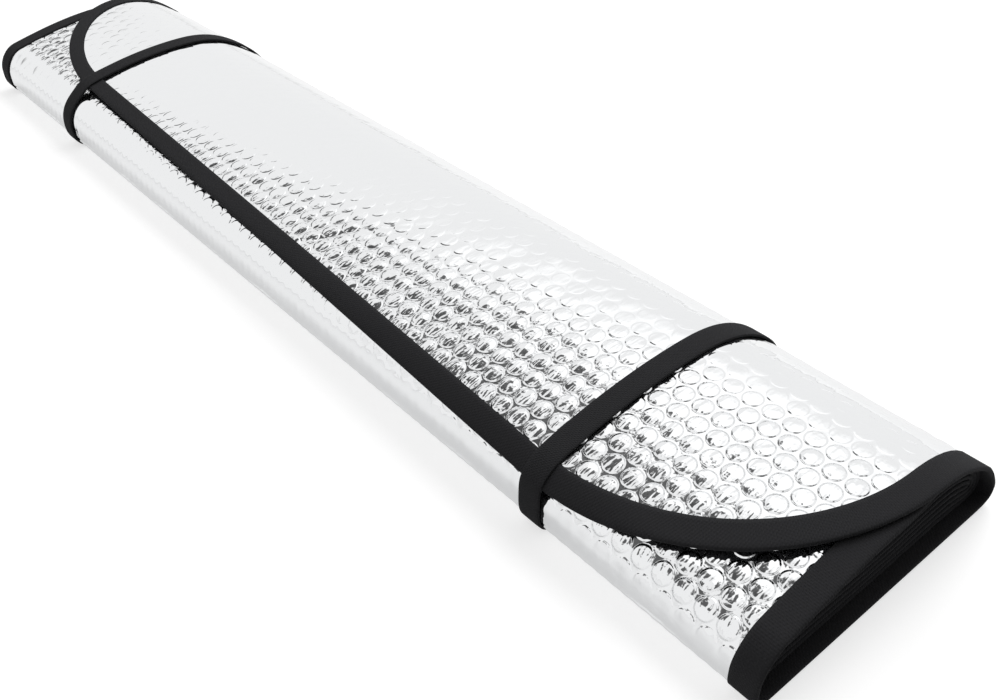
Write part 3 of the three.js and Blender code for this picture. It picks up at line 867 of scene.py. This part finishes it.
def backing_height(s, x):
    """The backing lies within the tape at the sheet's edge and at its own depth past it."""
    past_tape = HALF_LENGTH - np.abs(x) - BINDING_WIDTH
    fade = smooth_step(0, BACKING_EDGE_REACH, past_tape)
    return -BACKING_EDGE_DEPTH - (SHEET_HALF - BACKING_EDGE_DEPTH) * fade


def coarse_rows(first, last):
    """Rows for the films without bubbles: wide steps on the runs, fine ones round the folds."""
    rows = []
    for number, (start, end) in enumerate(STRETCHES):
        is_run = number % 2 == 1
        rows.extend(even_steps(start, end, COARSE_RUN_STEP if is_run else COARSE_FOLD_STEP))
    rows = np.array(rows)
    rows = rows[(rows > first + LEAST_ROW_STEP) & (rows < last - LEAST_ROW_STEP)]
    return np.unique(np.round(np.concatenate([[first], rows, [last]]), 4))


columns = bubble_columns()
foil_top = film(
    "foil_top", bubble_rows(FOIL_START, RIGHT_FOLD_END), columns, bubbled_height, bubble_foil
)
side_rows = bubble_rows(LEFT_FOLD_START, LEFT_FOLD_END + SIDE_RUN)
crease_s = LEFT_FOLD_START + SIDE_CREASE_UP
crease_reach = SIDE_CREASE_SWAY + 2 * SIDE_CREASE_HALF_WIDTH
crease_rows = crease_s + even_steps(-crease_reach, crease_reach, CREASE_ROW_STEP)
away = np.abs(side_rows - crease_s) > crease_reach + CREASE_ROW_MARGIN
foil_side = film(
    "foil_side",
    np.sort(np.concatenate([side_rows[away], crease_rows])),
    columns,
    bubbled_height,
    side_foil,
)
wide_columns = np.linspace(
    -HALF_LENGTH + SHEET_EDGE, HALF_LENGTH - SHEET_EDGE, COARSE_COLUMNS
)
foil_bottom = film(
    "foil_bottom",
    coarse_rows(RIGHT_FOLD_END, LEFT_FOLD_START),
    wide_columns,
    flat_height,
    bubble_foil,
)
foil_inside = film(
    "foil_inside",
    coarse_rows(LEFT_FOLD_END + SIDE_RUN, SHEET_WIDTH - SHEET_EDGE),
    wide_columns,
    flat_height,
    backing_foil,
)
foil_backing = film(
    "foil_backing",
    coarse_rows(FOIL_START, SHEET_WIDTH - SHEET_EDGE),
    wide_columns,
    backing_height,
    backing_foil,
)

# The binding


def outline_stations():
    """Points round the sheet's outline, each as its t and x with the step of both for every
    millimetre in from the edge: t, t step, x, x step."""
    straight = HALF_LENGTH - CORNER_LENGTH
    stations = []

    def corner(centre_t, centre_x, reach_t, reach_x, from_angle, to_angle, count):
        for angle in np.linspace(from_angle, to_angle, count):
            cos, sin = math.cos(angle), math.sin(angle)
            stations.append((centre_t + reach_t * cos, -cos, centre_x + reach_x * sin, -sin))

    def outer_corner(centre_x, *angles):
        corner(CORNER_WIDTH, centre_x, CORNER_WIDTH, CORNER_LENGTH, *angles, CORNER_POINTS)

    def inner_corner(centre_x, *angles):
        corner(inner_t, centre_x, INNER_CORNER, INNER_CORNER, *angles, INNER_CORNER_POINTS)

    side_t = coarse_rows(CORNER_WIDTH + 1, SHEET_WIDTH - INNER_CORNER - 1)
    inner_t, inner_x = SHEET_WIDTH - INNER_CORNER, HALF_LENGTH - INNER_CORNER
    for x in even_steps(-straight, straight, OUTER_EDGE_STEP)[:-1]:
        stations.append((0, 1, x, 0))
    outer_corner(straight, math.pi, math.pi / 2)
    for t in side_t:
        stations.append((t, 0, HALF_LENGTH, -1))
    inner_corner(inner_x, math.pi / 2, 0)
    for x in even_steps(inner_x, -inner_x, INNER_EDGE_STEP)[1:-1]:
        stations.append((SHEET_WIDTH, -1, x, 0))
    inner_corner(-inner_x, 0, -math.pi / 2)
    for t in side_t[::-1]:
        stations.append((t, 0, -HALF_LENGTH, 1))
    outer_corner(-straight, -math.pi / 2, -math.pi)
    return np.array(stations)


def tape_profile():
    """The tape's middle surface across its width: in from the edge, and height n."""
    middle = BINDING_HALF - TAPE_THICKNESS / 2
    leaf = np.linspace(BINDING_WIDTH, middle, LEAF_POINTS)
    turn = np.linspace(0, math.pi, LEAF_POINTS)[1:-1]
    bend = middle * BEND_SHARE
    round_edge = bend - bend * np.sin(turn) + TAPE_THICKNESS / 2
    inset = np.concatenate([leaf, round_edge, leaf[::-1]])
    outer, inner = np.full(LEAF_POINTS, middle), np.full(LEAF_POINTS, -middle)
    n = np.concatenate([outer, middle * np.cos(turn), inner])
    width = np.concatenate([[0], np.cumsum(np.hypot(np.diff(inset), np.diff(n)))])
    return inset, n, width


def close_and_thicken(name, bm, material, thickness):
    """Makes a piece of a band that closes on itself, and gives it its thickness."""
    bmesh.ops.remove_doubles(bm, verts=bm.verts, dist=MERGE_DISTANCE)
    bmesh.ops.recalc_face_normals(bm, faces=bm.faces)
    piece = finish_piece(name, bm, material)
    wall = piece.modifiers.new("thickness", "SOLIDIFY")
    wall.thickness = thickness * METRES
    wall.offset = 0
    return piece


def edge_tape():
    """The tape folded over the sheet's edge, all the way round."""
    stations = outline_stations()
    inset, n, width = tape_profile()
    bm, column, row = flat_grid(len(stations) + 1, len(inset))
    station = stations[column % len(stations)]
    depth = inset[row]
    t = station[:, 0] + station[:, 1] * depth
    x = station[:, 2] + station[:, 3] * depth
    set_places(bm, place(to_s(t, x), x, n[row]))
    outline = np.stack([stations[:, 2], stations[:, 0]])
    steps = np.hypot(*np.diff(np.concatenate([outline, outline[:, :1]], axis=1), axis=1))
    travelled = np.concatenate([[0], np.cumsum(steps)])
    bm.verts.index_update()
    write_flat_map(bm, travelled[column], width[row])
    return close_and_thicken("edge_tape", bm, woven_tape, TAPE_THICKNESS)


tape = edge_tape()

# The elastic loops


def held_outline(strap_x):
    """The convex outline of what an elastic loop holds, counter-clockwise, in the section."""
    points = []
    for x in (strap_x - STRAP_WIDTH / 2, strap_x, strap_x + STRAP_WIDTH / 2):
        t = np.arange(0, SECOND_RUN_START + HELD_RUN, HELD_STEP)
        n = np.where(t < BINDING_WIDTH + HELD_TAPE_MARGIN, BINDING_HALF, SHEET_HALF)
        places = place(to_s(t, x), np.full(len(t), float(x)), n)
        points.extend(map(tuple, places[:, 1:] / METRES))
    points = sorted(points)

    def chain(ordered):
        kept = []
        for p in ordered:
            while len(kept) > 1:
                a, b = kept[-2], kept[-1]
                if (b[0] - a[0]) * (p[1] - a[1]) - (b[1] - a[1]) * (p[0] - a[0]) > 0:
                    break
                kept.pop()
            kept.append(p)
        return kept[:-1]

    return np.array(chain(points) + chain(points[::-1]))


def elastic_loop(name, strap_x):
    """A flat elastic band, stretched tight round the roll."""
    outline = held_outline(strap_x)
    closed = np.concatenate([outline, outline[:1]])
    travelled = np.concatenate([[0], np.cumsum(np.hypot(*np.diff(closed, axis=0).T))])
    at = np.linspace(0, travelled[-1], LOOP_POINTS, endpoint=False)
    loop = np.stack([np.interp(at, travelled, closed[:, k]) for k in (0, 1)], axis=-1)
    for _ in range(LOOP_SMOOTHINGS):
        loop = (np.roll(loop, 1, axis=0) + 2 * loop + np.roll(loop, -1, axis=0)) / 4
    along = np.roll(loop, -1, axis=0) - np.roll(loop, 1, axis=0)
    along /= np.linalg.norm(along, axis=1, keepdims=True)
    outward = np.stack([along[:, 1], -along[:, 0]], axis=-1)
    loop = loop + outward * (CLEARANCE + STRAP_THICKNESS / 2)
    bm, column, row = flat_grid(LOOP_POINTS + 1, LOOP_ROWS)
    across = np.linspace(-STRAP_WIDTH / 2, STRAP_WIDTH / 2, LOOP_ROWS)
    at_edge = np.abs(across[row]) > STRAP_WIDTH / 2 - LOOP_EDGE_WIDTH
    here = loop[column % LOOP_POINTS]
    here = here - outward[column % LOOP_POINTS] * (LOOP_EDGE_DROP * at_edge)[:, None]
    places = np.stack([strap_x + across[row], here[:, 0], here[:, 1]], axis=-1) * METRES
    set_places(bm, places)
    bm.verts.index_update()
    write_flat_map(bm, column * travelled[-1] / LOOP_POINTS, across[row])
    piece = close_and_thicken(name, bm, woven_elastic, STRAP_THICKNESS)
    edge = piece.modifiers.new("edge", "BEVEL")
    edge.width = LOOP_BEVEL * METRES
    edge.segments = 2
    return piece


near_loop = elastic_loop("elastic_near", NEAR_STRAP_X)
far_loop = elastic_loop("elastic_far", FAR_STRAP_X)

for piece in (foil_top, foil_side, foil_bottom, foil_inside, foil_backing):
    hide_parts("shade_panel")
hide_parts("edge_binding")
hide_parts("strap_near")
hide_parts("strap_far")

# The studio: a white sweep, a white surround with dark gaps and a bright patch, and a soft lamp


def floor_material():
    material, tree = new_material("matt white paper sweep")
    path = node(tree, "ShaderNodeLightPath")
    paper = node(tree, "ShaderNodeBsdfDiffuse", {"Color": linear(PAPER_COLOUR)}).outputs["BSDF"]
    to_camera = node(
        tree,
        "ShaderNodeMath",
        {0: path.outputs["Is Camera Ray"], 1: GLOW_TO_CAMERA},
        operation="MULTIPLY",
    ).outputs["Value"]
    strength = node(
        tree,
        "ShaderNodeMath",
        {0: path.outputs["Is Glossy Ray"], 1: GLOW_IN_FOIL, 2: to_camera},
        operation="MULTIPLY_ADD",
    ).outputs["Value"]
    glow = node(
        tree, "ShaderNodeEmission", {"Color": WHITE, "Strength": strength}
    ).outputs["Emission"]
    lit = node(tree, "ShaderNodeAddShader", {0: paper, 1: glow}).outputs["Shader"]
    node(tree, "ShaderNodeOutputMaterial", {"Surface": lit})
    return material


def round_patch(tree, way, patch, outside, inside):
    """A value that is inside in the middle of a patch of the surround and outside round it."""
    azimuth, elevation, full_within, ends_at = patch
    a, e = math.radians(azimuth), math.radians(elevation)
    middle = (math.cos(e) * math.cos(a), math.cos(e) * math.sin(a), math.sin(e))
    nearness = node(
        tree, "ShaderNodeVectorMath", {0: way, 1: middle}, operation="DOT_PRODUCT"
    ).outputs["Value"]
    return node(
        tree,
        "ShaderNodeMapRange",
        {
            "Value": nearness,
            "From Min": math.cos(math.radians(ends_at)),
            "From Max": math.cos(math.radians(full_within)),
            "To Min": outside,
            "To Max": inside,
        },
        interpolation_type="SMOOTHSTEP",
    ).outputs["Result"]


def studio():
    bm = bmesh.new()
    bmesh.ops.create_grid(bm, x_segments=2, y_segments=2, size=SWEEP_REACH)
    mesh = bpy.data.meshes.new("sweep")
    bm.to_mesh(mesh)
    bm.free()
    mesh.materials.append(floor_material())
    sweep = bpy.data.objects.new("sweep", mesh)
    bpy.context.scene.collection.objects.link(sweep)

    world = bpy.data.worlds.new("studio")
    bpy.context.scene.world = world
    world.use_nodes = True
    tree = world.node_tree
    tree.nodes.clear()
    way = node(tree, "ShaderNodeTexCoord").outputs["Generated"]
    path = node(tree, "ShaderNodeLightPath")
    unseen = round_patch(tree, way, UNSEEN_GAP, 0, 1)
    shade = node(
        tree, "ShaderNodeMath", {0: unseen, 1: path.outputs["Is Glossy Ray"]}, operation="SUBTRACT"
    ).outputs["Value"]
    for patch, depth in DARK_GAPS:
        gap = round_patch(tree, way, patch, 0, depth)
        shade = node(
            tree, "ShaderNodeMath", {0: shade, 1: gap}, operation="MAXIMUM"
        ).outputs["Value"]
    surround = node(
        tree, "ShaderNodeMixRGB", {"Fac": shade, "Color1": SURROUND_WHITE, "Color2": GAP_BLACK}
    ).outputs["Color"]
    colour = node(
        tree,
        "ShaderNodeMixRGB",
        {"Fac": path.outputs["Is Camera Ray"], "Color1": surround, "Color2": WHITE},
    ).outputs["Color"]
    brightness = round_patch(tree, way, BRIGHT_PATCH, 1, BRIGHT_PATCH_STRENGTH)
    background = node(tree, "ShaderNodeBackground", {"Color": colour, "Strength": brightness})
    node(tree, "ShaderNodeOutputWorld", {"Surface": background.outputs["Background"]})

    lamp_data = bpy.data.lights.new("soft lamp", "AREA")
    lamp_data.shape = "DISK"
    lamp_data.size = LAMP_SIZE
    lamp_data.energy = LAMP_WATTS
    lamp = bpy.data.objects.new("soft lamp", lamp_data)
    lamp.location = LAMP_PLACE
    lamp_lean = -math.atan2(LAMP_PLACE[1], LAMP_PLACE[2])
    lamp.rotation_euler = (lamp_lean, 0, math.radians(LAMP_TURN))
    lamp.visible_glossy = False
    bpy.context.scene.collection.objects.link(lamp)


studio()

camera_data = bpy.data.cameras.new("camera")
camera_data.sensor_width = SENSOR_WIDTH
camera_data.lens = CAMERA_LENS
camera = bpy.data.objects.new("camera", camera_data)
camera.location = CAMERA_PLACE
camera.rotation_euler = (math.radians(90 - CAMERA_TILT), 0, math.radians(CAMERA_AZIMUTH - 90))
bpy.context.scene.collection.objects.link(camera)
bpy.context.scene.camera = camera
bpy.context.scene.view_settings.view_transform = "Standard"
